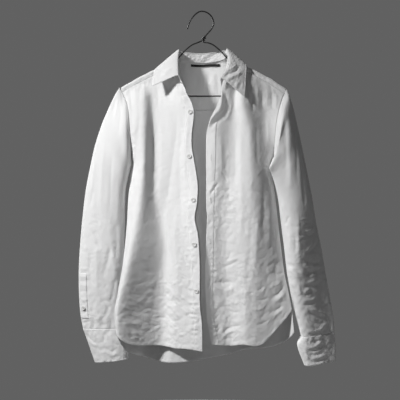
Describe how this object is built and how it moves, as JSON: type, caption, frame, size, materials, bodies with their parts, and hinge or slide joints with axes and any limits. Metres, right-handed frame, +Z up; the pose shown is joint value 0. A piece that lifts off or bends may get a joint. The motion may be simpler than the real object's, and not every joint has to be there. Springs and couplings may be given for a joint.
{
  "type": "crumpled long-sleeve shirt on a wire hanger",
  "caption": "Long-sleeve button shirt in thin cotton, hanging open at the front on a coated wire hanger, with a turned-down collar, cuffs and a curved hem.",
  "frame": {"origin": "the inner top of the hanger's hook, where it bears on a rod or a peg", "axes": "+Z up, +X to the right of somebody who faces the shirt's front, and the front faces -Y"},
  "size_m": [0.6254, 0.1153, 0.8564],
  "materials": {
    "cotton": "plain weave",
    "button": "polished",
    "label": "woven",
    "wire": "satin coating"
  },
  "bodies": {
    "root": {"right_front": "cotton", "left_front": "cotton", "back": "cotton", "yoke": "cotton", "right_sleeve": "cotton", "left_sleeve": "cotton", "right_cuff": "cotton", "left_cuff": "cotton", "collar_stand": "cotton", "collar_leaf": "cotton", "right_sleeve_placket": "cotton", "button_placket": "cotton", "buttonhole_placket": "cotton", "button_1": "button", "button_2": "button", "button_3": "button", "button_4": "button", "button_5": "button", "stand_button": "button", "sleeve_button": "button", "neck_label": "label", "hanger": "wire"}
  },
  "joints": []
}
